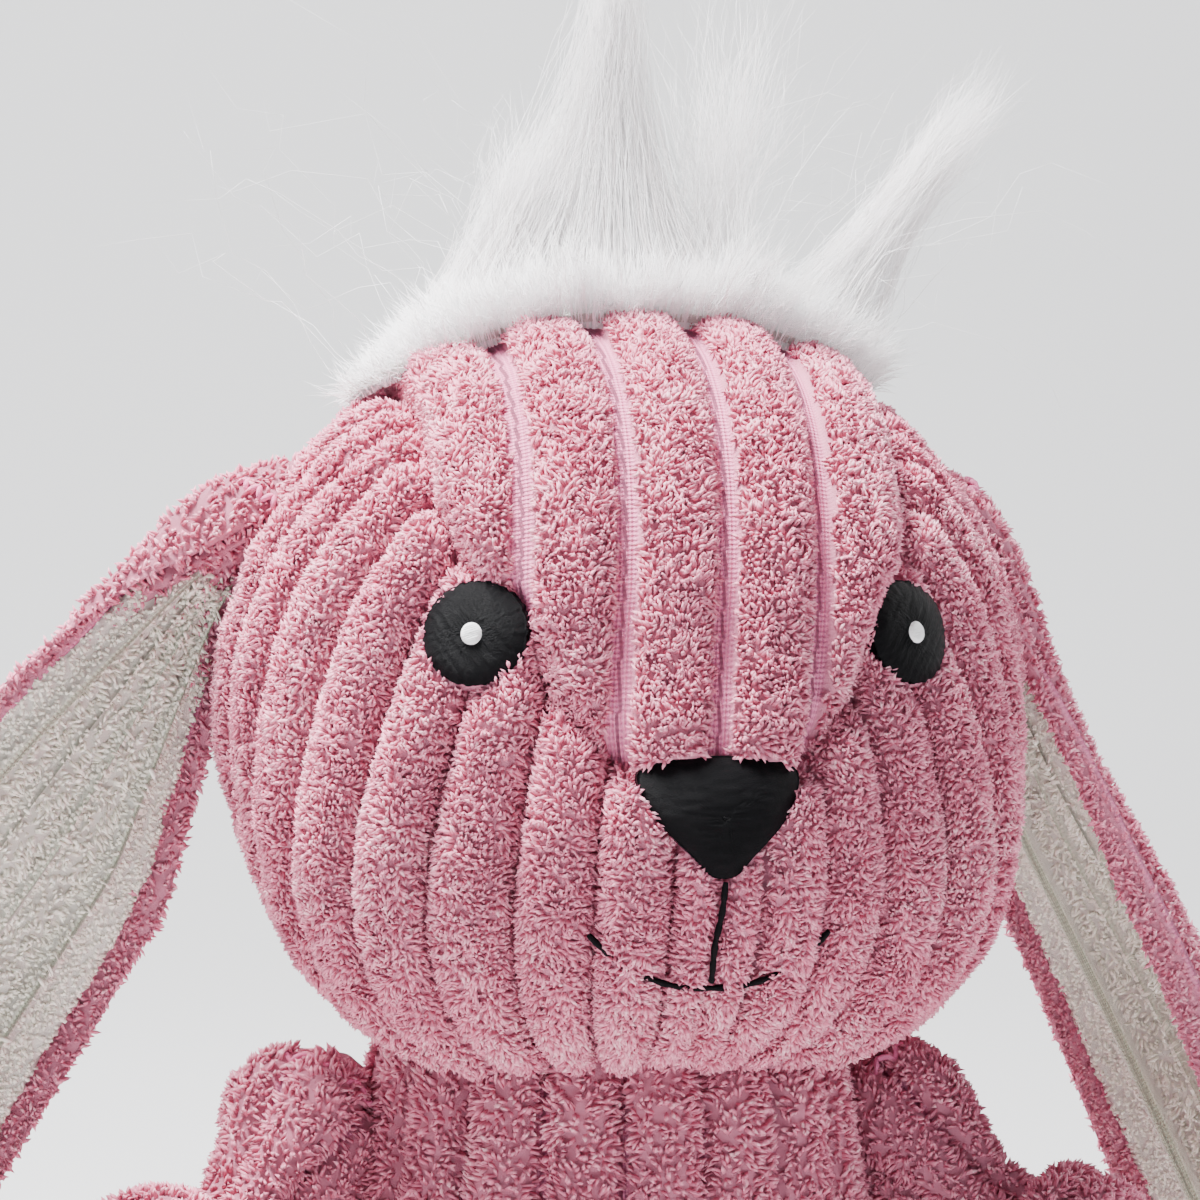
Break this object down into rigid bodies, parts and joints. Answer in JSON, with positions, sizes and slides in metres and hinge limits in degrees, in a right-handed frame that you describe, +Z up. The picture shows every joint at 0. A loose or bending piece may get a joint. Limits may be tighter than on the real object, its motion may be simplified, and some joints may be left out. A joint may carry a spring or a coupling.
{
  "type": "plush rabbit toy",
  "caption": "Seated plush rabbit with wide-ribbed pink cover, cream-lined floppy ears, embroidered face, white fur tuft and knotted limbs.",
  "frame": {"origin": "centre of the flat seat face under the torso", "axes": "+Z up, the face looks along -Y, the rabbit's left is +X"},
  "size_m": [0.3201, 0.2654, 0.327],
  "materials": {
    "pink_plush": "wide-rib fleece pile",
    "cream_plush": "wide-rib fleece pile",
    "liner_cloth": "plain woven",
    "fibre_filling": "lofty fibre",
    "black_thread": "satin stitch",
    "white_thread": "satin stitch",
    "pink_thread": "twisted thread",
    "white_fur": "long-pile fur",
    "fur_backing": "knitted backing",
    "squeaker_bulb": "soft blow-moulded",
    "squeaker_reed": "moulded"
  },
  "bodies": {
    "torso": {"torso_cover": "pink_plush", "torso_liner": "liner_cloth", "torso_filling": "fibre_filling", "torso_squeaker_bulb": "squeaker_bulb", "torso_squeaker_reed": "squeaker_reed", "back_closing_stitches": "pink_thread", "tail_pompom": "white_fur", "tail_button": "fur_backing"},
    "neck_seam": {"neck_stitching": "pink_thread"},
    "head": {"head_cover": "pink_plush", "head_liner": "liner_cloth", "head_filling": "fibre_filling", "head_squeaker_bulb": "squeaker_bulb", "head_squeaker_reed": "squeaker_reed", "eye_left": "black_thread", "eye_left_glint": "white_thread", "eye_right": "black_thread", "eye_right_glint": "white_thread", "nose_patch": "black_thread", "mouth_stitching": "black_thread", "tuft_backing": "fur_backing", "tuft_fur": "white_fur", "ear_left_root_stitching": "pink_thread", "ear_right_root_stitching": "pink_thread"},
    "ear_left": {"ear_left_outer": "pink_plush", "ear_left_wadding": "fibre_filling", "ear_left_lining": "cream_plush"},
    "arm_left_seam": {"arm_left_stitching": "pink_thread"},
    "arm_left": {"arm_left_cover": "pink_plush", "arm_left_liner": "liner_cloth", "arm_left_filling": "fibre_filling"},
    "leg_left_seam": {"leg_left_stitching": "pink_thread"},
    "leg_left": {"leg_left_cover": "pink_plush", "leg_left_liner": "liner_cloth", "leg_left_filling": "fibre_filling"},
    "ear_right": {"ear_right_outer": "pink_plush", "ear_right_wadding": "fibre_filling", "ear_right_lining": "cream_plush"},
    "arm_right_seam": {"arm_right_stitching": "pink_thread"},
    "arm_right": {"arm_right_cover": "pink_plush", "arm_right_liner": "liner_cloth", "arm_right_filling": "fibre_filling"},
    "leg_right_seam": {"leg_right_stitching": "pink_thread"},
    "leg_right": {"leg_right_cover": "pink_plush", "leg_right_liner": "liner_cloth", "leg_right_filling": "fibre_filling"}
  },
  "joints": [
    {"name": "neck_turn", "type": "hinge", "parent": "torso", "child": "neck_seam", "pos_m": [0, 0, 0.13], "axis": [0, 0, 1], "range_deg": [-12, 12], "stiffness_Nm_per_rad": 0.25},
    {"name": "head_nod", "type": "hinge", "parent": "neck_seam", "child": "head", "pos_m": [0, 0, 0.13], "axis": [1, 0, 0], "range_deg": [-10, 13], "stiffness_Nm_per_rad": 0.9},
    {"name": "ear_left_lift", "type": "hinge", "parent": "head", "child": "ear_left", "pos_m": [0.058, 0, 0.231], "axis": [0, -1, 0], "range_deg": [-3, 45], "stiffness_Nm_per_rad": 0.12},
    {"name": "arm_left_raise", "type": "hinge", "parent": "torso", "child": "arm_left_seam", "pos_m": [0.0475, 0.003, 0.131], "axis": [0, -1, 0], "range_deg": [-5, 20], "stiffness_Nm_per_rad": 0.15},
    {"name": "arm_left_swing", "type": "hinge", "parent": "arm_left_seam", "child": "arm_left", "pos_m": [0.0475, 0.003, 0.131], "axis": [0, 0, 1], "range_deg": [-6, 15], "stiffness_Nm_per_rad": 0.15},
    {"name": "leg_left_spread", "type": "hinge", "parent": "torso", "child": "leg_left_seam", "pos_m": [0.035, -0.037, 0.027], "axis": [0, 0, 1], "range_deg": [-12, 18], "stiffness_Nm_per_rad": 0.2},
    {"name": "leg_left_lift", "type": "hinge", "parent": "leg_left_seam", "child": "leg_left", "pos_m": [0.035, -0.037, 0.027], "axis": [-1, 0, 0], "range_deg": [-4, 32], "stiffness_Nm_per_rad": 0.2},
    {"name": "ear_right_lift", "type": "hinge", "parent": "head", "child": "ear_right", "pos_m": [-0.058, 0, 0.231], "axis": [0, 1, 0], "range_deg": [-3, 45], "stiffness_Nm_per_rad": 0.12},
    {"name": "arm_right_raise", "type": "hinge", "parent": "torso", "child": "arm_right_seam", "pos_m": [-0.0475, 0.003, 0.131], "axis": [0, 1, 0], "range_deg": [-5, 20], "stiffness_Nm_per_rad": 0.15},
    {"name": "arm_right_swing", "type": "hinge", "parent": "arm_right_seam", "child": "arm_right", "pos_m": [-0.0475, 0.003, 0.131], "axis": [0, 0, -1], "range_deg": [-6, 15], "stiffness_Nm_per_rad": 0.15},
    {"name": "leg_right_spread", "type": "hinge", "parent": "torso", "child": "leg_right_seam", "pos_m": [-0.035, -0.037, 0.027], "axis": [0, 0, -1], "range_deg": [-12, 18], "stiffness_Nm_per_rad": 0.2},
    {"name": "leg_right_lift", "type": "hinge", "parent": "leg_right_seam", "child": "leg_right", "pos_m": [-0.035, -0.037, 0.027], "axis": [-1, 0, 0], "range_deg": [-4, 32], "stiffness_Nm_per_rad": 0.2}
  ]
}
